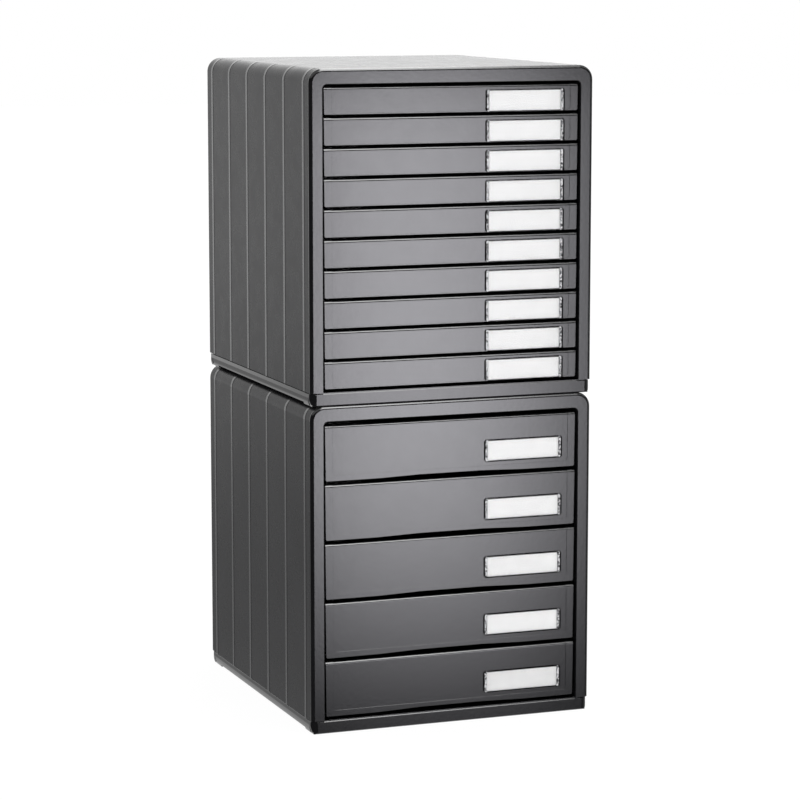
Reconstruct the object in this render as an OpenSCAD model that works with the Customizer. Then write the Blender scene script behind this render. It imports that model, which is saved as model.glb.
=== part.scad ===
// Letter tray stack: two equal desk cases, one on the other, with slim drawers over deep drawers.
// X runs across the front, the front faces -Y and Z is up. The origin lies on the surface that the
// stack stands on, under its middle. Lengths are in millimetres.

/* [Case] */
// Width of a case across its front
case_w = 291; // [275:1:320]
// Depth of a case, from the front face to the rear edge of its shell
case_d = 325; // [310:1:350]
// Height of a case, which is also the step of the stack
case_h = 320; // [300:1:350]
// Radius of the two upper corners, seen from the front
corner_r = 14; // [11:0.5:18]

/* [Shell] */
// Wall of the wrap-round shell
shell_wall = 3; // [2:0.1:4]
// Number of raised beads up each side, which fade out over the upper corners
bead_count = 6; // [3:1:8]
// Height of a bead above the shell
bead_h = 0.25; // [0.2:0.05:0.8]
// Width of a bead at its foot
bead_w = 6.4; // [4:0.1:9]
// Width of a bead's flat crest
bead_crest_w = 4.6; // [2:0.1:5.4]
// Distance from the case's front to the first bead
bead_front_in = 18.5; // [14:0.5:30]
// Distance from the last bead to the shell's rear edge
bead_rear_in = 16.3; // [12:0.5:30]
// Depth under the shell's top at which a bead ends
bead_end_in = 0.03; // [0.02:0.01:0.2]

/* [Front frame] */
// Width of a post beside the drawers
post_w = 13.3; // [11:0.1:18]
// Height of the bar over the drawers
top_bar_h = 15; // [13:0.1:20]
// Thickness of the frame's face, which also shows at the side as a narrow lip
face_t = 4.2; // [3.5:0.1:5]
// Radius of the frame's outer front edge
edge_r = 3.2; // [1.5:0.1:3.4]
// Open seam between the lip and the shell
seam = 0.5; // [0.3:0.1:0.8]
// Radius of the opening's two upper corners
opening_r = 4; // [2:0.5:6]
// Radius of the edge round the opening
opening_edge_r = 0.5; // [0.3:0.1:1.5]
// Depth of the wall that turns back round the opening, from the front face
return_d = 14; // [10:0.5:16]
// Thickness of that wall
return_t = 2.4; // [1.6:0.1:3]
// Depth of the tongue that plugs into the shell, from the front face
tongue_d = 12; // [8:0.5:14]
// Thickness of the tongue
tongue_t = 2.2; // [1.5:0.1:3]

/* [Base] */
// Height of the base
base_h = 12.8; // [12:0.1:16]
// Step from the shell's outer face in to the base's
base_in = 0.4; // [0:0.1:1]
// Wall of the base's side skirts at the ground
base_wall = 2.6; // [2:0.1:2.8]
// Wall of the base's front and rear, which stand on the case below
end_wall = 5; // [4.6:0.1:6]
// Thickness of the deck that carries the case
deck_t = 2.4; // [1.6:0.1:3]
// Radius of the base's front corners, seen from above
base_corner_r = 6; // [6:0.5:9]
// Radius of the base's rear corners, seen from above
base_rear_r = 2; // [1:0.5:6]
// Radius of the base's drawn-in flank
flank_r = 18; // [18:1:30]
// Height above which the flank is upright
flank_h = 8; // [6:0.5:8.5]
// Chamfer along the base's lower edge
base_chamfer = 1; // [0.5:0.1:1.4]
// Chamfer along the base's upper edge
base_top_chamfer = 0.6; // [0.3:0.1:1]
// Height of the shadow groove under the shell and frame
groove_h = 0.8; // [0.5:0.1:1.2]
// Depth of the shadow groove
groove_d = 1.2; // [0.8:0.1:1.8]
// Clearance of the side skirts above the ground
skirt_lift = 2; // [1:0.1:3]
// Length of the full-height foot at each end of a side skirt
foot_len = 25; // [22:1:40]
// Distance from a case's end to the far edge of the slot beside each corner
slot_in = 9.4; // [9:0.1:12]
// Width of that slot at the ground
slot_w = 4.4; // [3:0.1:5]
// Distance from the slot's far edge to its peak, along the skirt
slot_peak_in = 1.2; // [0.8:0.1:2.5]
// Height of the slot
slot_h = 8.5; // [5:0.1:9]
// Thickness of the soft pad under each corner
pad_h = 1.6; // [1:0.1:2]
// Length of a pad across the case
pad_w = 14; // [8:0.5:18]
// Wall left in front of a pad
pad_wall = 0.6; // [0.4:0.1:1]
// Step from the skirt's outer face in to the pad's
pad_in = 0.3; // [0.2:0.1:0.6]
// Thickness of the ribs under the deck
rib_t = 1.6; // [1.2:0.1:2.5]
// Height of those ribs
rib_h = 2.4; // [1:0.1:5]
// Number of ribs each way
rib_count = 2; // [2:1:6]

/* [Back panel] */
// Thickness of the back panel
back_t = 2.5; // [2:0.1:4]
// Depth of the back panel inside the shell's rear edge
back_in = 2.5; // [1.5:0.1:4]
// Depth of the rim round the panel's inner side
back_rim_d = 8; // [4:0.5:9]
// Thickness of that rim
back_rim_t = 2.2; // [1.6:0.1:3]
// Width of the border round the panel's sunk field
back_border = 14; // [11:0.5:25]
// Depth of the sunk field
back_sink = 0.8; // [0.4:0.1:1]

/* [Runners] */
// Thickness of the panel that carries the ledges
rack_t = 2; // [1.5:0.1:2.5]
// Thickness of a ledge
ledge_t = 2; // [1.5:0.1:2.1]
// Width of the tray's edge that lies on a ledge
ledge_grip = 4; // [3:0.1:6]
// Height of the guide beside the tray above the ledge
guide_h = 3; // [2:0.1:4]
// Clearance between a runner panel and the way of the stop barbs
rack_clear = 2.4; // [1:0.1:3]
// Number of upright ribs between a runner panel and the shell
rack_ribs = 3; // [2:1:7]

/* [Drawers] */
// Number of slim drawers in the upper case
slim_count = 10; // [6:1:10]
// Number of deep drawers in the lower case
deep_count = 5; // [3:1:5]
// Gap between two slim fronts
slim_gap = 2.2; // [1.5:0.1:3]
// Gap between two deep fronts
deep_gap = 3.2; // [1.5:0.1:4]
// Gap between the highest slim front and the top bar
slim_head_gap = 2; // [1.3:0.1:4]
// Gap between the highest deep front and the top bar
deep_head_gap = 3.8; // [1.3:0.1:5]
// Gap between the lowest front and the base
sill_gap = 3; // [1.5:0.1:4]
// Gap between the top of a front's side and a post
side_gap = 2; // [1.3:0.1:3]
// Draft of a front's two sides, in degrees
draft = 0.7; // [0.4:0.1:2.5]
// Depth of the fronts behind the frame's face
front_in = 2.6; // [0.5:0.1:3.5]
// Thickness of a front
front_t = 4; // [3.6:0.1:5]
// Radius along a front's top edge
front_top_r = 3; // [1:0.1:3.4]
// Cut along a front's lower edge
front_edge_cut = 0.3; // [0.2:0.1:1]
// Cut across a front's lower corners, seen from the front
front_corner_cut = 1.2; // [0.6:0.1:3]
// Wall of a tray
tray_wall = 1.8; // [1.4:0.1:2.5]
// Distance of the tray's side inside the top of its front's side
tray_in = 3; // [2.5:0.1:5]
// Height of the tray's underside above its front's lower edge
tray_lift = 2.8; // [2.8:0.1:4]
// Distance of the tray's rim below its front's top edge
tray_drop = 1.6; // [1:0.1:4]
// Radius of the tray's rear corners
tray_r = 6; // [3:0.5:10]
// Clearance between the closed tray and the back panel
tray_rear_gap = 7.5; // [4:0.5:12]
// Running clearance between tray and runner
run_gap = 0.3; // [0.2:0.1:0.5]
// Length of the tray behind its stop
stop_in = 58; // [40:1:90]
// Hold of the stop barbs behind the wall round the opening
stop_hook = 1.8; // [1:0.1:2]
// Length of the stop barb on each side of the tray
stop_len = 14; // [8:1:20]
// Height of the stop barb
stop_h = 7; // [5:0.5:9]

/* [Front details] */
// Width of the raised margin at a front's left and right
margin_side = 7.8; // [5:0.1:12]
// Height of the raised margin along a slim front's lower edge
margin_low_slim = 1.3; // [0.8:0.1:3]
// Height of the raised margin along a deep front's lower edge
margin_low_deep = 5.8; // [3:0.1:7]
// Depth of the sunk panel between the margins, which also runs over the front's top edge
panel_sink = 0.4; // [0.2:0.05:0.8]
// Radius of the sunk panel's lower corners
panel_r = 3; // [1:0.5:6]
// Width of the finger pull in a deep front's lower edge
pull_w = 168; // [80:1:180]
// Height of the finger pull
pull_h = 1.6; // [1:0.1:2.5]
// Length of the slope at each end of the finger pull
pull_slope = 52; // [10:1:60]

/* [Labels] */
// Width of the clear label window
window_w = 79.8; // [70:0.1:90]
// Height of the clear label window
window_h = 20.8; // [18:0.1:22]
// Thickness of the clear label window
window_t = 2; // [1.6:0.1:2.2]
// Distance from the window to the right side of the front
window_right_in = 15; // [12:0.5:25]
// Height of the window above a slim front's lower edge
window_low_slim = 0.4; // [0.2:0.1:1]
// Height of the window above a deep front's lower edge
window_low_deep = 10; // [7:0.5:20]
// Depth of the window's face behind the margins
window_in = 0.1; // [0:0.05:0.3]
// Radius of the window's corners
window_r = 1.2; // [0.5:0.1:2]
// Open groove beside the window
window_groove = 1.5; // [0.5:0.1:2]
// Open groove over and under the window
window_groove_z = 0.7; // [0.3:0.1:1.2]
// Width of the clear border at the left and right of the card
card_side = 2.4; // [1.5:0.1:4]
// Height of the clear border over the card
card_top = 0.9; // [0.5:0.1:3]
// Height of the clear border under the card
card_low = 0.5; // [0.4:0.1:3]
// Thickness of the card
card_t = 0.4; // [0.2:0.05:0.6]
// Thickness of the window in front of the card
window_skin = 0.9; // [0.6:0.1:1]
// Clearance round the card in its pocket
card_gap = 0.15; // [0.1:0.05:0.3]

/* [Hidden] */
$fn = 48;
// Sides of a full circle where a radius is too small, or too far inside, to need a true arc: one
// cut across a corner, two steps or three steps
cut = 4;
coarse = 8;
fair = 12;

// Colours as the object shows them
gloss_black = [0.14, 0.14, 0.15];
grain_black = [0.18, 0.18, 0.19];
pad_grey = [0.62, 0.62, 0.62];
clear_plastic = [0.85, 0.87, 0.9, 0.4];
card_white = [0.96, 0.96, 0.95];

// Length by which a cutter passes the surface that it starts from
past = 1;

front_y = -case_d / 2;
rear_y = case_d / 2;

// Base: outline, height of its wall under the shadow groove, and how far its flank is drawn in
base_w = case_w - 2 * base_in;
base_d = case_d - 2 * base_in;
base_top = base_h - groove_h;
flank_in = flank_r - sqrt(flank_r * flank_r - flank_h * flank_h);

// The opening between the posts, the top bar and the deck
opening_w = case_w - 2 * post_w;
opening_top = case_h - top_bar_h;
sill_z = base_h + sill_gap;
slim_pitch = (opening_top - slim_head_gap - sill_z + slim_gap) / slim_count;
deep_pitch = (opening_top - deep_head_gap - sill_z + deep_gap) / deep_count;
slim_h = slim_pitch - slim_gap;
deep_h = deep_pitch - deep_gap;

// Fronts and trays
front_w = opening_w - 2 * side_gap;
front_face_y = front_y + front_in;
tray_w = front_w - 2 * tray_in;
tray_front_y = front_face_y + front_t;
tray_rear_y = rear_y - back_in - back_t - tray_rear_gap;
stop_y = tray_rear_y - stop_in;
stop_reach = opening_w / 2 + stop_hook - tray_w / 2;

// Runners stand between the shell's wall and the way of the stop barbs
inner_w = case_w - 2 * shell_wall;
rack_x = tray_w / 2 + stop_reach + rack_clear;
rack_front_y = front_y + return_d + run_gap;
rack_rear_y = rear_y - back_in - back_t - back_rim_d - run_gap;
rack_len = rack_rear_y - rack_front_y;
rack_top = case_h - corner_r;

// Labels
window_x = front_w / 2 - window_right_in - window_w / 2;
window_y = front_face_y + window_in;
card_w = window_w - 2 * card_side;
card_h = window_h - card_top - card_low;
card_z = (card_low - card_top) / 2;

// Height of each drawer front's lower edge above the ground of its case, numbered from the top
function slim_z(k) = sill_z + (slim_count - k) * slim_pitch;
function deep_z(k) = sill_z + (deep_count - k) * deep_pitch;

function names(stem, count) = [for (k = [1:count]) str(stem, k)];

CASE_PIECES = ["base", "pads", "shell", "front_frame", "back_panel", "left_runner", "right_runner"];

// ---- General shapes ----

// A rectangle centred on the origin with four round corners
module round_rect(w, h, r) {
    square([w - 2 * r, h], center = true);
    square([w, h - 2 * r], center = true);
    for (x = [-1, 1], y = [-1, 1]) translate([x * (w / 2 - r), y * (h / 2 - r)]) circle(r);
}

// The case's outline from the front: square below, with two round corners above
module arch(w, low, high, r) {
    translate([-w / 2, low]) square([w, high - r - low]);
    translate([-w / 2 + r, low]) square([w - 2 * r, high - low]);
    for (side = [-1, 1]) translate([side * (w / 2 - r), high - r]) circle(r);
}

// Extrudes a 2D shape of (y, z) along X, centred on the origin
module along_x(length) {
    rotate([90, 0, 90]) translate([0, 0, -length / 2]) linear_extrude(length) children();
}

// Extrudes a 2D shape of (x, z) towards +Y, from start to start + length
module along_y(start, length) {
    translate([0, start + length, 0]) rotate([90, 0, 0]) linear_extrude(length) children();
}

// Sweeps a profile up one side of an arch, over it and down the other side. The profile's x is
// the distance outward from the arch, and its y is the depth.
module arch_sweep(w, low, high, r) {
    for (side = [0, 1]) mirror([side, 0, 0]) {
        translate([w / 2, 0, low]) linear_extrude(high - r - low) children();
        translate([w / 2 - r, 0, high - r]) rotate([-90, 0, 0])
            rotate_extrude(angle = 90, start = 270) translate([r, 0]) children();
    }
    translate([w / 2 - r, 0, high]) rotate([0, -90, 0]) linear_extrude(w - 2 * r) children();
}

// ---- Base ----

// The base from the front: sides that are upright above flank_h and drawn in below it, with a
// chamfer along the upper edges
module base_front_view() {
    core_w = base_w - 2 * flank_r;
    foot_w = base_w - 2 * flank_in;
    translate([-core_w / 2, 0]) square([core_w, base_top]);
    translate([-base_w / 2, flank_h]) square([base_w, base_top - base_top_chamfer - flank_h]);
    translate([0, base_top - 2 * base_top_chamfer]) bevelled_square(base_w, 2 * base_top_chamfer);
    for (side = [-1, 1]) intersection() {
        translate([side * core_w / 2, flank_h]) circle(flank_r);
        translate([-base_w / 2, 0]) square([base_w, flank_h + past / 2]);
    }
}

// The base from the side: upright ends with a chamfer along each edge
module base_side_view() {
    translate([-base_d / 2, base_chamfer])
        square([base_d, base_top - base_chamfer - base_top_chamfer]);
    translate([0, base_top - 2 * base_top_chamfer]) bevelled_square(base_d, 2 * base_top_chamfer);
    translate([0, 2 * base_chamfer]) mirror([0, 1]) bevelled_square(base_d, 2 * base_chamfer);
}

// A rectangle centred on x, standing on y = 0, with its two upper corners cut at 45 degrees by
// half its height
module bevelled_square(w, h) {
    polygon([[-w / 2, 0], [w / 2, 0], [w / 2, h / 2], [w / 2 - h / 2, h], [-w / 2 + h / 2, h],
             [-w / 2, h / 2]]);
}

// Plan of the base, with wider corners in front than at the rear
module base_plan() {
    round_rect(base_w, base_d, base_corner_r);
    translate([0, base_d / 4]) round_rect(base_w, base_d / 2, base_rear_r);
}

// The base's outer body
module base_body() {
    intersection() {
        linear_extrude(base_top) base_plan();
        along_y(-base_d / 2, base_d) base_front_view();
        along_x(base_w) base_side_view();
    }
}

// Plan of the room inside the base
module base_room() {
    round_rect(base_w - 2 * flank_in - 2 * base_wall, base_d - 2 * end_wall, base_wall, $fn = fair);
}

// The slot through the side skirt beside the right front corner
module corner_slot() {
    lean = (slot_w - slot_peak_in) / slot_h;
    translate([base_w / 2 - 2 * base_wall - past, front_y + slot_in, 0])
        rotate([90, 0, 90]) linear_extrude(2 * base_wall + 2 * past)
            polygon([[0, -past], [-slot_w - lean * past, -past], [-slot_peak_in, slot_h], [0, past]]);
}

// Places a thing that is drawn at the right front corner at all four corners
module at_corners() {
    for (x = [0, 1], y = [0, 1]) mirror([x, 0, 0]) mirror([0, y, 0]) children();
}

// Plan of a corner pad, behind the front strip and under the slot. Its outer side lies within the
// flank's lower edge.
module pad_plan(inset) {
    front = front_y + base_in + base_chamfer + pad_wall;
    translate([base_w / 2 - flank_in - pad_w, front])
        square([pad_w - inset, front_y + slot_in - front]);
}

module base() {
    room_h = base_h - deck_t;
    color(gloss_black) difference() {
        union() {
            base_body();
            translate([0, 0, base_h - deck_t]) linear_extrude(deck_t)
                round_rect(base_w - 2 * groove_d, base_d - 2 * groove_d, base_corner_r - groove_d,
                           $fn = fair);
        }
        difference() {
            translate([0, 0, -past]) linear_extrude(room_h + past) base_room();
            deck_ribs();
        }
        for (side = [-1, 1]) translate([side * case_w / 2, 0, 0])
            cube([4 * base_wall, case_d - 2 * foot_len, 2 * skirt_lift], center = true);
        at_corners() corner_slot();
        at_corners() translate([0, 0, -past]) linear_extrude(pad_h + past) pad_plan(-2 * base_wall);
    }
}

// Low ribs under the deck, from wall to wall
module deck_ribs() {
    rib_z = base_h - deck_t - rib_h;
    for (i = [1:rib_count]) {
        translate([(i / (rib_count + 1) - 0.5) * case_w - rib_t / 2, -base_d / 2, rib_z])
            cube([rib_t, base_d, rib_h + past]);
        translate([-base_w / 2, (i / (rib_count + 1) - 0.5) * case_d - rib_t / 2, rib_z])
            cube([base_w, rib_t, rib_h + past]);
    }
}

module pads() {
    color(pad_grey) at_corners() linear_extrude(pad_h) pad_plan(pad_in);
}

// ---- Shell ----

// Section of the shell along the depth
module wall_section() {
    start_y = front_y + face_t + seam;
    translate([-shell_wall, start_y]) square([shell_wall, rear_y - start_y]);
}

// Section of the beads outside it, which start inside the wall
module bead_section() {
    bead_span = case_d - bead_front_in - bead_rear_in;
    for (i = [0:bead_count - 1])
        translate([-bead_h, front_y + bead_front_in + bead_span * i / (bead_count - 1)])
            polygon([[0, -bead_w / 2], [bead_h, -bead_w / 2], [2 * bead_h, -bead_crest_w / 2],
                     [2 * bead_h, bead_crest_w / 2], [bead_h, bead_w / 2], [0, bead_w / 2]]);
}

module shell() {
    color(grain_black) union() {
        arch_sweep(case_w, base_h, case_h, corner_r) wall_section();
        intersection() {
            arch_sweep(case_w, base_h, case_h, corner_r) bead_section();
            translate([-case_w, -case_d, 0]) cube([2 * case_w, 2 * case_d, case_h - bead_end_in]);
        }
    }
}

// ---- Front frame ----

// Section of the frame's outer lip with its round front edge
module lip_section() {
    band = corner_r - past;
    translate([-band, front_y]) difference() {
        square([band, face_t]);
        translate([band - edge_r, 0]) difference() {
            translate([0, -past]) square([edge_r + past, edge_r + past]);
            translate([0, edge_r]) circle(edge_r);
        }
    }
}

// Section of the cutter that rounds the edge of the opening
module opening_edge_section() {
    translate([-past, front_y - past]) difference() {
        square([opening_edge_r + past, opening_edge_r + past]);
        translate([opening_edge_r + past, opening_edge_r + past]) circle(opening_edge_r, $fn = coarse);
    }
}

module front_frame() {
    inner_r = corner_r - edge_r;
    color(gloss_black) difference() {
        union() {
            arch_sweep(case_w, base_h, case_h, corner_r) lip_section();
            along_y(front_y, face_t) difference() {
                arch(case_w - 2 * edge_r, base_h, case_h - edge_r, inner_r);
                arch(opening_w, base_h - past, opening_top, opening_r, $fn = fair);
            }
            along_y(front_y + face_t / 2, return_d - face_t / 2) difference() {
                arch(opening_w + 2 * return_t, base_h, opening_top + return_t, opening_r + return_t,
                     $fn = fair);
                arch(opening_w, base_h - past, opening_top, opening_r, $fn = fair);
            }
            along_y(front_y + face_t / 2, tongue_d - face_t / 2) difference() {
                arch(inner_w, base_h, case_h - shell_wall, corner_r - shell_wall, $fn = fair);
                arch(inner_w - 2 * tongue_t, base_h - past, case_h - shell_wall - tongue_t,
                     corner_r - shell_wall - tongue_t, $fn = fair);
            }
        }
        along_y(front_y - past, return_d + 2 * past)
            arch(opening_w, base_h - past, opening_top, opening_r, $fn = fair);
        arch_sweep(opening_w, base_h - past, opening_top, opening_r, $fn = fair)
            opening_edge_section();
    }
}

// ---- Back panel ----

module back_panel() {
    fit = 0.2;
    fit_w = inner_w - 2 * fit;
    fit_top = case_h - shell_wall - fit;
    fit_r = corner_r - shell_wall - fit;
    panel_y = rear_y - back_in - back_t;
    color(grain_black) difference() {
        union() {
            along_y(panel_y, back_t) arch(fit_w, base_h, fit_top, fit_r, $fn = fair);
            along_y(panel_y - back_rim_d, back_rim_d + back_t / 2) difference() {
                arch(fit_w, base_h, fit_top, fit_r, $fn = fair);
                arch(fit_w - 2 * back_rim_t, base_h - past, fit_top - back_rim_t,
                     fit_r - back_rim_t, $fn = fair);
            }
        }
        along_y(panel_y + back_t - back_sink, back_sink + past)
            translate([0, (base_h + fit_top) / 2])
                round_rect(fit_w - 2 * back_border, fit_top - base_h - 2 * back_border, fit_r,
                           $fn = fair);
    }
}

// ---- Runners ----

// Section of one ledge, seen from the front at the right side: a shelf under the tray's edge and
// a guide beside it. Its zero is the shelf's upper face.
module ledge_section() {
    shelf_x = tray_w / 2 - ledge_grip;
    guide_x = tray_w / 2 + 2 * run_gap;
    translate([shelf_x, -ledge_t]) square([rack_x - shelf_x + rack_t / 2, ledge_t]);
    translate([guide_x, -ledge_t]) square([ledge_t, ledge_t + guide_h]);
}

// The right-hand runner for a case whose fronts have their lower edges at the heights given
module runner(heights) {
    rib_step = (rack_len - rack_t) / (rack_ribs - 1);
    color(grain_black) union() {
        along_y(rack_front_y, rack_len) {
            translate([rack_x, base_h]) square([rack_t, rack_top - base_h]);
            for (z = heights) translate([0, z + tray_lift - run_gap]) ledge_section();
        }
        for (i = [0:rack_ribs - 1])
            translate([rack_x, rack_front_y + i * rib_step, base_h])
                cube([inner_w / 2 - rack_x, rack_t, rack_top - base_h]);
    }
}

// ---- Drawers ----

// A front's outline, narrower by the draft towards its lower edge, whose corners are cut
module front_outline(height) {
    x = front_w / 2;
    low_x = x - height * tan(draft);
    cut_x = x - (height - front_corner_cut) * tan(draft);
    polygon([[-x, height], [-cut_x, front_corner_cut], [-low_x + front_corner_cut, 0],
             [low_x - front_corner_cut, 0], [cut_x, front_corner_cut], [x, height]]);
}

// A section in (y, z) that is round along its top edge. It starts at the depth y and reaches from
// the height low up to high.
module round_top_section(y, low, high, r) {
    rear = front_face_y + front_t;
    translate([y, low]) square([rear - y, high - r - low]);
    translate([y + r, low]) square([rear - y - r, high - low]);
    translate([y + r, high - r]) circle(r);
}

// A front's section: round along its top edge, with a small cut along its lower edge
module front_section(height) {
    y = front_face_y;
    round_top_section(y, front_edge_cut, height, front_top_r);
    polygon([[y, front_edge_cut], [y + front_edge_cut, 0], [y + front_t, 0],
             [y + front_t, 2 * front_edge_cut], [y, 2 * front_edge_cut]]);
}

// A front's outer body, before its panel and label seat are sunk
module front_body(height) {
    intersection() {
        along_x(front_w) front_section(height);
        along_y(front_face_y - past, front_t + 2 * past) front_outline(height);
    }
}

// Cutter for the sunk panel, which is open at the top and has two round corners below. It takes
// the same depth off the round top edge.
module panel_cutter(height, margin) {
    w = front_w - 2 * margin_side;
    difference() {
        along_y(front_face_y - past, front_t + 2 * past)
            translate([0, margin + height]) round_rect(w, 2 * height, panel_r, $fn = fair);
        along_x(front_w) {
            round_top_section(front_face_y + panel_sink, 0, height - panel_sink,
                              front_top_r - panel_sink);
            translate([front_face_y + front_t - panel_sink, 0])
                square([past + 2 * panel_sink, height - panel_sink]);
        }
    }
}

// Cutter for the seat that the label window clips into
module seat_cutter(low, open_below) {
    seat_w = window_w + 2 * window_groove;
    seat_h = window_h + 2 * window_groove_z;
    seat_r = window_r + window_groove_z;
    drop = open_below ? seat_r + low + past : 0;
    along_y(front_face_y - past, past + window_in + window_t)
        translate([window_x, low + window_h / 2 - drop / 2])
            round_rect(seat_w, seat_h + drop, seat_r, $fn = cut);
}

// Cutter for the shallow finger pull in the middle of a deep front's lower edge
module pull_cutter() {
    steep = pull_slope / pull_h;
    along_y(front_face_y - past, front_t + 2 * past) polygon([
        [-pull_w / 2 - steep * past, -past], [pull_w / 2 + steep * past, -past],
        [pull_w / 2 - pull_slope, pull_h], [-pull_w / 2 + pull_slope, pull_h]]);
}

// Plan of the tray, inset from its outer face
module tray_plan(inset) {
    w = tray_w - 2 * inset;
    r = tray_r - inset;
    rear = tray_rear_y - inset;
    translate([-w / 2, tray_front_y]) square([w, rear - r - tray_front_y]);
    translate([-w / 2 + r, tray_front_y]) square([w - 2 * r, rear - tray_front_y]);
    for (side = [-1, 1]) translate([side * (w / 2 - r), rear - r]) circle(r, $fn = coarse);
}

// The tray behind a front, with a barb on each side that stops it behind the frame
module tray(height) {
    rim_z = height - tray_drop;
    barb_z = rim_z - stop_h - tray_wall;
    difference() {
        translate([0, 0, tray_lift]) linear_extrude(rim_z - tray_lift) union() {
            tray_plan(0);
            translate([-tray_w / 2, tray_front_y - past]) square([tray_w, 2 * past]);
        }
        translate([0, 0, tray_lift + tray_wall]) linear_extrude(rim_z) tray_plan(tray_wall);
    }
    for (side = [0, 1]) mirror([side, 0, 0])
        translate([0, 0, barb_z]) linear_extrude(stop_h) polygon([
            [tray_w / 2 - tray_wall / 2, stop_y], [tray_w / 2 + stop_reach, stop_y],
            [tray_w / 2 + stop_reach, stop_y + tray_wall], [tray_w / 2, stop_y + stop_len],
            [tray_w / 2 - tray_wall / 2, stop_y + stop_len]]);
}

module slim_drawer(k) {
    color(gloss_black) translate([0, 0, case_h + slim_z(k)]) {
        difference() {
            front_body(slim_h);
            panel_cutter(slim_h, margin_low_slim);
            seat_cutter(window_low_slim, true);
        }
        tray(slim_h);
    }
}

module deep_drawer(k) {
    color(gloss_black) translate([0, 0, deep_z(k)]) {
        difference() {
            front_body(deep_h);
            panel_cutter(deep_h, margin_low_deep);
            seat_cutter(window_low_deep, false);
            pull_cutter();
        }
        tray(deep_h);
    }
}

// ---- Labels ----

// Places a thing drawn about the window's middle, with its zero depth on the window's face
module at_window(low) {
    translate([window_x, window_y, low + window_h / 2]) children();
}

module label_window() {
    color(clear_plastic) difference() {
        along_y(0, window_t) round_rect(window_w, window_h, window_r, $fn = cut);
        along_y(window_skin, window_t) translate([0, card_z])
            square([card_w + 2 * card_gap, card_h + 2 * card_gap], center = true);
    }
}

module label_card() {
    color(card_white) along_y(window_skin, card_t)
        translate([0, card_z]) square([card_w, card_h], center = true);
}

// ---- The pieces of one case ----

module case_piece(piece, heights) {
    if (piece == "base") base();
    if (piece == "pads") pads();
    if (piece == "shell") shell();
    if (piece == "front_frame") front_frame();
    if (piece == "back_panel") back_panel();
    if (piece == "right_runner") runner(heights);
    if (piece == "left_runner") mirror([1, 0, 0]) runner(heights);
}

slim_heights = [for (k = [1:slim_count]) slim_z(k)];
deep_heights = [for (k = [1:deep_count]) deep_z(k)];

for (piece = CASE_PIECES)
    translate([0, 0, case_h]) case_piece(piece, slim_heights);
for (piece = CASE_PIECES)
    case_piece(piece, deep_heights);
for (k = [1:slim_count])
    slim_drawer(k);
for (k = [1:slim_count])
    translate([0, 0, case_h + slim_z(k)]) at_window(window_low_slim) label_window();
for (k = [1:slim_count])
    translate([0, 0, case_h + slim_z(k)]) at_window(window_low_slim) label_card();
for (k = [1:deep_count])
    deep_drawer(k);
for (k = [1:deep_count])
    translate([0, 0, deep_z(k)]) at_window(window_low_deep) label_window();
for (k = [1:deep_count])
    translate([0, 0, deep_z(k)]) at_window(window_low_deep) label_card();
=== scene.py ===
"""Looks for the letter tray stack: materials, floor, studio light and camera.

Lengths are in metres. The fronts face -Y, X runs to the right as one looks at them, and Z is up.
"""
import math

import bpy
from mathutils import Matrix, Vector


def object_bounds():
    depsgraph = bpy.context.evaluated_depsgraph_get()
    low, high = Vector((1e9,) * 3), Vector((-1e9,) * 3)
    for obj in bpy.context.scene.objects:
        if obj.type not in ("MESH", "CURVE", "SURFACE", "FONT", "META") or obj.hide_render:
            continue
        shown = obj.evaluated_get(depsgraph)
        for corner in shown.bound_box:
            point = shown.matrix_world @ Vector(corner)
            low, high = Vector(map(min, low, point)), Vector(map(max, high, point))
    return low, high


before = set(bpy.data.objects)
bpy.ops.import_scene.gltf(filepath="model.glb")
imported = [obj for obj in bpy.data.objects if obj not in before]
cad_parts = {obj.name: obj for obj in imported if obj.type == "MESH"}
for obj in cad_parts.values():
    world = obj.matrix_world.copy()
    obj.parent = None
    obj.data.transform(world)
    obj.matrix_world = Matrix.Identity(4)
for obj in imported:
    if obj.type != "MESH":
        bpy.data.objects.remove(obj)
cad_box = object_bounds()

# ---------------------------------------------------------------- node helpers

WHITE = (1, 1, 1, 1)
# Two middle parts of a noise's range, which hold most of its values
NOISE_WIDE = (0.3, 0.7)
NOISE_NARROW = (0.35, 0.65)


def cleared_tree(owner, output):
    """The emptied node tree of a material or world, and the surface socket of its new output."""
    owner.use_nodes = True
    tree = owner.node_tree
    tree.nodes.clear()
    return tree, tree.nodes.new(output).inputs["Surface"]


def new_material(name):
    """A material, its node tree and its surface socket."""
    material = bpy.data.materials.new(name)
    tree, surface = cleared_tree(material, "ShaderNodeOutputMaterial")
    return material, tree, surface


def components(tree, vector):
    """The X, Y and Z of a vector."""
    node = tree.nodes.new("ShaderNodeSeparateXYZ")
    tree.links.new(vector, node.inputs["Vector"])
    return node.outputs["X"], node.outputs["Y"], node.outputs["Z"]


def object_coords(tree):
    return tree.nodes.new("ShaderNodeTexCoord").outputs["Object"]


def noise(tree, coords, scale, detail, rough=0.5):
    """A noise over the given coordinates; the scale is in cells per metre."""
    node = tree.nodes.new("ShaderNodeTexNoise")
    node.inputs["Scale"].default_value = scale
    node.inputs["Detail"].default_value = detail
    node.inputs["Roughness"].default_value = rough
    tree.links.new(coords, node.inputs["Vector"])
    return node.outputs["Fac"]


def ramp(tree, factor, low, high):
    """A colour from low to high over the middle of a noise."""
    node = tree.nodes.new("ShaderNodeValToRGB")
    for element, position, colour in zip(node.color_ramp.elements, NOISE_NARROW, (low, high)):
        element.position = position
        element.color = (*colour, 1)
    tree.links.new(factor, node.inputs["Fac"])
    return node.outputs["Color"]


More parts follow.
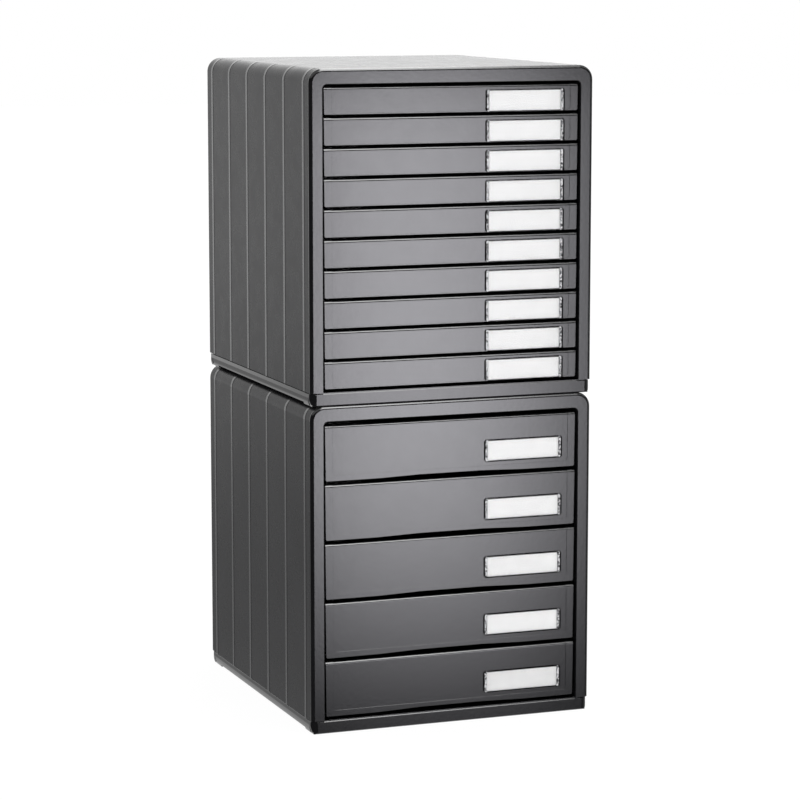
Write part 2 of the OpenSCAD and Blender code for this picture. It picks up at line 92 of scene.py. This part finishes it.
def map_range(tree, value, from_min, from_max, to_min, to_max, smooth=False):
    """A value taken from one range to another, and clamped to it."""
    node = tree.nodes.new("ShaderNodeMapRange")
    if smooth:
        node.interpolation_type = "SMOOTHSTEP"
    node.inputs["From Min"].default_value = from_min
    node.inputs["From Max"].default_value = from_max
    node.inputs["To Min"].default_value = to_min
    node.inputs["To Max"].default_value = to_max
    tree.links.new(value, node.inputs["Value"])
    return node.outputs["Result"]


def fade(tree, value, start, end, before, after):
    """A level that goes smoothly from one to the other while the value goes from start to end."""
    return map_range(tree, value, start, end, before, after, smooth=True)


def math_node(tree, operation, *values):
    """A math node's value; each operand is a socket or a number."""
    node = tree.nodes.new("ShaderNodeMath")
    node.operation = operation
    for socket, value in zip(node.inputs, values):
        if isinstance(value, (int, float)):
            socket.default_value = value
        else:
            tree.links.new(value, socket)
    return node.outputs["Value"]


def add(tree, a, b):
    return math_node(tree, "ADD", a, b)


def multiply(tree, a, b):
    return math_node(tree, "MULTIPLY", a, b)


def inverse(tree, value):
    return math_node(tree, "SUBTRACT", 1, value)


def bumped(tree, height, depth, strength=1.0, normal=None):
    """A normal bent by a height. Where the height is 1, the surface rises by the depth."""
    node = tree.nodes.new("ShaderNodeBump")
    node.inputs["Strength"].default_value = strength
    node.inputs["Distance"].default_value = depth
    tree.links.new(height, node.inputs["Height"])
    if normal is not None:
        tree.links.new(normal, node.inputs["Normal"])
    return node.outputs["Normal"]


def mix_shaders(tree, factor, first, second):
    """The first shader where the factor is 0 and the second where it is 1."""
    node = tree.nodes.new("ShaderNodeMixShader")
    for socket, value in zip(node.inputs, (factor, first, second)):
        tree.links.new(value, socket)
    return node.outputs["Shader"]


def emission(tree, strength, colour=WHITE):
    """A glow whose strength a socket gives."""
    node = tree.nodes.new("ShaderNodeEmission")
    node.inputs["Color"].default_value = colour
    tree.links.new(strength, node.inputs["Strength"])
    return node.outputs["Emission"]


# ---------------------------------------------------------------- moulded plastics

# The clouds in the colour and in the gloss, in cells per metre
CLOUD_SCALE, WEAR_SCALE = 14, 56
POLISHED_ROUGH, POLISHED_IOR = 0.22, 1.55


def moulded(name, low, high, rough, grain_scale, grain_depth, edge, ior=1.5, smooth_mask=None):
    """Moulded plastic: cloudy colour, uneven gloss, surface grain and softened edges. Where the
    smooth mask is 1, the plastic is polished and free of grain."""
    material, tree, surface = new_material(name)
    shader = tree.nodes.new("ShaderNodeBsdfPrincipled")
    coords = object_coords(tree)
    cloud = noise(tree, coords, CLOUD_SCALE, detail=4)
    tree.links.new(ramp(tree, cloud, low, high), shader.inputs["Base Color"])
    wear = noise(tree, coords, WEAR_SCALE, detail=5, rough=0.6)
    roughness = map_range(tree, wear, *NOISE_WIDE, *rough)
    grain = noise(tree, coords, grain_scale, detail=2)
    shader.inputs["IOR"].default_value = ior
    if smooth_mask:
        mask = smooth_mask(tree, coords)
        grained_share = inverse(tree, mask)
        roughness = add(tree, multiply(tree, roughness, grained_share),
                        multiply(tree, mask, POLISHED_ROUGH))
        grain = multiply(tree, grain, grained_share)
        tree.links.new(map_range(tree, mask, 0, 1, ior, POLISHED_IOR), shader.inputs["IOR"])
    tree.links.new(roughness, shader.inputs["Roughness"])
    soft_edges = tree.nodes.new("ShaderNodeBevel")
    soft_edges.samples = 4
    soft_edges.inputs["Radius"].default_value = edge
    normal = bumped(tree, grain, grain_depth, normal=soft_edges.outputs["Normal"])
    tree.links.new(normal, shader.inputs["Normal"])
    tree.links.new(shader.outputs["BSDF"], surface)
    return material


# The shell's beads, as part.scad has them: how many there are, half the width of a crest, and how
# far the first and the last lie from the case's front and rear
BEAD_COUNT, BEAD_HALF = 6, 0.0023
BEAD_FRONT_IN, BEAD_REAR_IN = 0.0185, 0.0163
BEAD_FIRST = cad_box[0][1] + BEAD_FRONT_IN
BEAD_STEP = (cad_box[1][1] - BEAD_REAR_IN - BEAD_FIRST) / (BEAD_COUNT - 1)
# The soft edge of a crest's polish, as a share of the step between beads
BEAD_SOFT = 0.01
# How far from the middle of the top the polish begins, and where it is full
BEAD_TOP_FADE = (0.132, 0.142)


def bead_mask(tree, coords):
    """1 on the crests of the shell's beads at the sides, and 0 elsewhere."""
    x, y, _ = components(tree, coords)
    steps = math_node(tree, "DIVIDE", math_node(tree, "SUBTRACT", y, BEAD_FIRST), BEAD_STEP)
    away = math_node(tree, "PINGPONG", steps, 0.5)
    half = BEAD_HALF / BEAD_STEP
    crest = fade(tree, away, half, half + BEAD_SOFT, 1, 0)
    side = fade(tree, math_node(tree, "ABSOLUTE", x), *BEAD_TOP_FADE, 0, 1)
    return multiply(tree, crest, side)


# Each plastic: its darkest and palest colour, its range of roughness, the size of its grain in
# cells per metre, the grain's depth and the radius of its softened edges
GLOSS = {"low": (0.0045, 0.0045, 0.005), "high": (0.0065, 0.0065, 0.0072),
         "rough": (0.118, 0.132), "grain_scale": 260, "grain_depth": 0.000012, "edge": 0.00025}
GRAINED = {"low": (0.0078, 0.0078, 0.0087), "high": (0.0108, 0.0108, 0.0119),
           "rough": (0.25, 0.31), "grain_scale": 1100, "grain_depth": 0.00003, "edge": 0.0003}
BACK = {"low": (0.0105, 0.0105, 0.0112), "high": (0.0145, 0.0145, 0.0155),
        "rough": (0.30, 0.38), "grain_scale": 1100, "grain_depth": 0.00003, "edge": 0.0003}
INNER = {"low": (0.006, 0.006, 0.0065), "high": (0.009, 0.009, 0.0095),
         "rough": (0.28, 0.38), "grain_scale": 700, "grain_depth": 0.00003, "edge": 0.0003}
PAD = {"low": (0.30, 0.30, 0.30), "high": (0.36, 0.36, 0.355),
       "rough": (0.6, 0.75), "grain_scale": 900, "grain_depth": 0.00004, "edge": 0.0003}
BASE_IOR, GRAINED_IOR = 1.45, 1.17

gloss = moulded("gloss black plastic", **GLOSS)
base_gloss = moulded("base gloss black plastic", **GLOSS, ior=BASE_IOR)
grained = moulded("grained black plastic", **GRAINED, ior=GRAINED_IOR, smooth_mask=bead_mask)
back = moulded("back panel plastic", **BACK)
inner = moulded("inner black plastic", **INNER)
pad = moulded("soft grey pad", **PAD)

# ---------------------------------------------------------------- label windows and cards

# The card's place in its window, and how soft its edges are, as shares of the window's size
CARD_X, CARD_Z = (0.031, 0.969), (0.025, 0.955)
CARD_SOFT_X, CARD_SOFT_Z = 0.004, 0.012
# How far a face's normal runs along Y where the face starts, and where it fully counts, as broad
BROAD_FACE = (0.3, 0.7)
# What the plastic lets through in the border and over the card
BORDER_CLEARNESS, CARD_CLEARNESS = 0.35, 0.985
HAZE_COLOUR = (0.62, 0.62, 0.64, 1)
HAZE_ROUGH = (0.15, 0.4)
# The speckles: the values of their noise between which clear turns to hazy, and the haze in both
SPECKLE_SCALE, SPECKLE_EDGE, SPECKLE_HAZE = 480, (0.46, 0.54), (0.02, 0.95)
# The share of its mirror image that the plastic keeps, and the ripples that bend that image
GLARE, GLARE_ROUGH, GLARE_IOR = 0.3, 0.06, 1.49
RIPPLE_SCALE, RIPPLE_DEPTH, RIPPLE_STRENGTH = 220, 0.00001, 0.4


def band(tree, value, low, high, soft):
    """1 where a value lies between low and high, and 0 outside, with soft ends."""
    rise = fade(tree, value, low - soft, low + soft, 0, 1)
    fall = fade(tree, value, high - soft, high + soft, 1, 0)
    return multiply(tree, rise, fall)


def clear_plastic(name):
    """Clear moulded plastic: see-through over the card, duller in the border round it, and hazy
    with speckles in the border's two ends."""
    material, tree, surface = new_material(name)
    coords = tree.nodes.new("ShaderNodeTexCoord").outputs
    x, _, z = components(tree, coords["Generated"])
    between_ends = band(tree, x, *CARD_X, CARD_SOFT_X)
    over_card = multiply(tree, between_ends, band(tree, z, *CARD_Z, CARD_SOFT_Z))
    geometry = tree.nodes.new("ShaderNodeNewGeometry").outputs
    _, facing, _ = components(tree, geometry["True Normal"])
    broad_face = map_range(tree, math_node(tree, "ABSOLUTE", facing), *BROAD_FACE, 0, 1)

    through = tree.nodes.new("ShaderNodeBsdfTransparent")
    clearness = map_range(tree, over_card, 0, 1, BORDER_CLEARNESS, CARD_CLEARNESS)
    tree.links.new(multiply(tree, broad_face, clearness), through.inputs["Color"])

    speckle = noise(tree, coords["Object"], SPECKLE_SCALE, detail=4, rough=0.75)
    hazy = tree.nodes.new("ShaderNodeBsdfPrincipled")
    hazy.inputs["Base Color"].default_value = HAZE_COLOUR
    tree.links.new(map_range(tree, speckle, *NOISE_WIDE, *HAZE_ROUGH), hazy.inputs["Roughness"])
    haze = map_range(tree, speckle, *SPECKLE_EDGE, *SPECKLE_HAZE)
    haze = multiply(tree, multiply(tree, haze, inverse(tree, between_ends)), broad_face)
    body = mix_shaders(tree, haze, through.outputs["BSDF"], hazy.outputs["BSDF"])

    glare = tree.nodes.new("ShaderNodeBsdfGlossy")
    glare.inputs["Roughness"].default_value = GLARE_ROUGH
    ripple = noise(tree, coords["Object"], RIPPLE_SCALE, detail=1)
    tree.links.new(bumped(tree, ripple, RIPPLE_DEPTH, RIPPLE_STRENGTH), glare.inputs["Normal"])
    mirror_share = tree.nodes.new("ShaderNodeFresnel")
    mirror_share.inputs["IOR"].default_value = GLARE_IOR
    outside = inverse(tree, geometry["Backfacing"])
    glare_share = multiply(tree, multiply(tree, mirror_share.outputs["Fac"], outside), GLARE)
    tree.links.new(mix_shaders(tree, glare_share, body, glare.outputs["BSDF"]), surface)
    return material


PAPER_LOW, PAPER_HIGH = (0.92, 0.92, 0.92), (0.95, 0.95, 0.95)
PAPER_ROUGH, PAPER_SPECULAR = (0.75, 0.9), 0.25
MOTTLE_SCALE = 90
FIBRE_SCALE, FIBRE_DEPTH, FIBRE_STRENGTH = 2500, 0.00002, 0.5


def card_stock(name):
    """White uncoated card with fibres and a slight mottle."""
    material, tree, surface = new_material(name)
    shader = tree.nodes.new("ShaderNodeBsdfPrincipled")
    coords = object_coords(tree)
    mottle = noise(tree, coords, MOTTLE_SCALE, detail=5)
    tree.links.new(ramp(tree, mottle, PAPER_LOW, PAPER_HIGH), shader.inputs["Base Color"])
    tree.links.new(map_range(tree, mottle, *NOISE_WIDE, *PAPER_ROUGH), shader.inputs["Roughness"])
    shader.inputs["Specular IOR Level"].default_value = PAPER_SPECULAR
    fibre = noise(tree, coords, FIBRE_SCALE, detail=3)
    tree.links.new(bumped(tree, fibre, FIBRE_DEPTH, FIBRE_STRENGTH), shader.inputs["Normal"])
    tree.links.new(shader.outputs["BSDF"], surface)
    return material


clear = clear_plastic("clear window plastic")
card = card_stock("label card stock")

# ---------------------------------------------------------------- materials on the pieces

LOOKS = {"base": base_gloss, "front_frame": gloss, "shell": grained, "back_panel": back,
         "runner": inner, "pads": pad, "drawer": gloss, "label_window": clear, "label_card": card}

for name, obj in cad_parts.items():
    look = next(mat for word, mat in LOOKS.items() if word in name)
    for slot in obj.material_slots:
        slot.material = look

# ---------------------------------------------------------------- floor


def stage_mesh(name, x_range, y_range):
    """A flat four-cornered stage surface."""
    (left, right), (low, high) = x_range, y_range
    corners = [(left, low, 0), (right, low, 0), (right, high, 0), (left, high, 0)]
    mesh = bpy.data.meshes.new(name)
    mesh.from_pydata(corners, [], [(0, 1, 2, 3)])
    obj = bpy.data.objects.new(name, mesh)
    bpy.context.scene.collection.objects.link(obj)
    return obj


# The floor glows a little, like a light table; to the camera it is near white
FLOOR_RANGE = (-12, 12)
FLOOR_COLOUR, FLOOR_ROUGH = (0.93, 0.93, 0.93, 1), 0.9
TABLE_GLOW, TABLE_SHARE = 1.6, 0.7
SEEN_TABLE_GLOW, SEEN_TABLE_SHARE = 1.05, 0.9

floor = stage_mesh("floor", FLOOR_RANGE, FLOOR_RANGE)
floor.visible_glossy = False
pale_floor, tree, surface = new_material("pale floor")
shader = tree.nodes.new("ShaderNodeBsdfPrincipled")
shader.inputs["Base Color"].default_value = FLOOR_COLOUR
shader.inputs["Roughness"].default_value = FLOOR_ROUGH
to_camera = tree.nodes.new("ShaderNodeLightPath").outputs["Is Camera Ray"]
glow = emission(tree, map_range(tree, to_camera, 0, 1, TABLE_GLOW, SEEN_TABLE_GLOW))
glow_share = map_range(tree, to_camera, 0, 1, TABLE_SHARE, SEEN_TABLE_SHARE)
tree.links.new(mix_shaders(tree, glow_share, shader.outputs["BSDF"], glow), surface)
floor.data.materials.append(pale_floor)

# ---------------------------------------------------------------- studio light

# The world is white to the camera, and an even pale room for soft light. Reflections see another
# room: dim, but for a rear wall with a dark dip across it, a strip of bright ceiling overhead, a
# faint right side and the light table below. The X, Y and Z of a direction place its parts.
SEEN_GLOW, ROOM_GLOW, DIM = 1.0, 0.90, 0.03
# The rear wall: where it begins, its glow from left to right, and a step at its left
REAR_Y = (0.55, 0.85)
REAR_X, REAR_GLOWS = (-0.15, 0.2), (1.15, 1.82)
REAR_STEP_X, REAR_STEP_SHARES = (-0.325, -0.29), (0.87, 1.06)
# The dip across it: its upper and lower edge, the share of the glow that is left in it, and how
# far the glow returns below it
DIP_TOP_Z, DIP_FOOT_Z = (-0.175, -0.12), (-0.275, -0.24)
DIP_SHARE, DIP_RETURN = 0.37, 0.5
# The ceiling: the height where it begins, its glow left and right of an edge, and the shares of it
# that are left at the rear and at the left
CEILING_Z = (0.42, 0.50)
CEILING_X, CEILING_GLOWS = (0.365, 0.40), (13.0, 1.2)
CEILING_REAR_Y, CEILING_REAR_SHARE = (0.35, 0.65), 0.2
CEILING_LEFT_X, CEILING_LEFT_SHARE = (0.0, 0.2), 0.08
# The right side, and the light table as reflections see it
SIDE_X, SIDE_GLOW = (0.6, 0.9), 0.35
TABLE_Z, MIRRORED_TABLE_GLOW = (-0.44, -0.28), 1.1


def mirrored_room(tree, direction):
    """How brightly the mirrored room glows in a direction."""
    x, y, z = components(tree, direction)
    rear_glow = multiply(tree, fade(tree, x, *REAR_X, *REAR_GLOWS),
                         map_range(tree, x, *REAR_STEP_X, *REAR_STEP_SHARES))
    outside_dip = add(tree, fade(tree, z, *DIP_TOP_Z, 0, 1),
                      fade(tree, z, *DIP_FOOT_Z, DIP_RETURN, 0))
    rear = multiply(tree, multiply(tree, fade(tree, y, *REAR_Y, 0, 1), rear_glow),
                    map_range(tree, outside_dip, 0, 1, DIP_SHARE, 1))
    overhead = multiply(tree, fade(tree, y, *CEILING_REAR_Y, 1, CEILING_REAR_SHARE),
                        fade(tree, x, *CEILING_LEFT_X, CEILING_LEFT_SHARE, 1))
    ceiling_glow = multiply(tree, fade(tree, x, *CEILING_X, *CEILING_GLOWS), overhead)
    ceiling = multiply(tree, fade(tree, z, *CEILING_Z, 0, 1), ceiling_glow)
    side = fade(tree, x, *SIDE_X, 0, SIDE_GLOW)
    room = add(tree, add(tree, add(tree, rear, DIM), ceiling), side)
    return math_node(tree, "MAXIMUM", room, fade(tree, z, *TABLE_Z, MIRRORED_TABLE_GLOW, 0))


def background(tree, strength):
    """A white background; its strength is a socket or a number."""
    node = tree.nodes.new("ShaderNodeBackground")
    node.inputs["Color"].default_value = WHITE
    if isinstance(strength, (int, float)):
        node.inputs["Strength"].default_value = strength
    else:
        tree.links.new(strength, node.inputs["Strength"])
    return node.outputs["Background"]


world = bpy.data.worlds.new("studio")
bpy.context.scene.world = world
tree, surface = cleared_tree(world, "ShaderNodeOutputWorld")
path = tree.nodes.new("ShaderNodeLightPath").outputs
direction = tree.nodes.new("ShaderNodeTexCoord").outputs["Generated"]
lit = mix_shaders(tree, path["Is Glossy Ray"], background(tree, ROOM_GLOW),
                  background(tree, mirrored_room(tree, direction)))
tree.links.new(mix_shaders(tree, path["Is Camera Ray"], lit, background(tree, SEEN_GLOW)), surface)

# A large soft card at the front right, which the gloss fronts mirror. It stands upright, away from
# the point that it faces, and its glow fades out towards its four edges. Its own X runs along it,
# roughly as the scene's X does, and its own Y runs up.
SOFT_CARD_FACES = Vector((0, -0.16, 0))
SOFT_CARD_AWAY, SOFT_CARD_BEARING = 6.0, math.radians(20)
SOFT_CARD_X, SOFT_CARD_Y = (-0.9, 1.4), (-1.8, 1.0)
SOFT_CARD_GLOW, SOFT_CARD_TINT = 10.0, (0.985, 0.975, 1.03, 1)
LOW_X_FADE, HIGH_X_FADE = (-0.47, -0.13), (0.12, 0.80)
LOW_Y_FADE, HIGH_Y_FADE = (-1.75, -0.6), (0.30, 0.62)

soft_card = stage_mesh("soft card", SOFT_CARD_X, SOFT_CARD_Y)
away = Vector((math.sin(SOFT_CARD_BEARING), -math.cos(SOFT_CARD_BEARING), 0))
along = Vector((math.cos(SOFT_CARD_BEARING), math.sin(SOFT_CARD_BEARING), 0))
turn = Matrix((along, Vector((0, 0, 1)), away)).transposed().to_4x4()
soft_card.matrix_world = Matrix.Translation(away * SOFT_CARD_AWAY + SOFT_CARD_FACES) @ turn
soft_card.visible_camera = False
card_glow, tree, surface = new_material("soft card glow")
x, y, _ = components(tree, object_coords(tree))
across = multiply(tree, fade(tree, x, *LOW_X_FADE, 0, 1), fade(tree, x, *HIGH_X_FADE, 1, 0))
upwards = multiply(tree, fade(tree, y, *LOW_Y_FADE, 0, 1),
                   fade(tree, y, *HIGH_Y_FADE, SOFT_CARD_GLOW, 0))
tree.links.new(emission(tree, multiply(tree, across, upwards), SOFT_CARD_TINT), surface)
soft_card.data.materials.append(card_glow)

# ---------------------------------------------------------------- camera

# The camera that fits the photograph: its focal length in pixels of a frame of this width, its
# place, its turn to the right and its downward tilt
FRAME_PX, FOCAL_PX = 800, 2979.7
SENSOR_MM = 36
EYE = Vector((-1.0519, -2.8113, 0.7408))
YAW = math.radians(20.63)
PITCH = math.radians(8.41)

camera_data = bpy.data.cameras.new("camera")
camera_data.sensor_width = SENSOR_MM
camera_data.lens = FOCAL_PX * SENSOR_MM / FRAME_PX
camera = bpy.data.objects.new("camera", camera_data)
camera.location = EYE
camera.rotation_euler = (math.pi / 2 - PITCH, 0, -YAW)
bpy.context.scene.collection.objects.link(camera)
bpy.context.scene.camera = camera
bpy.context.scene.view_settings.view_transform = "Standard"
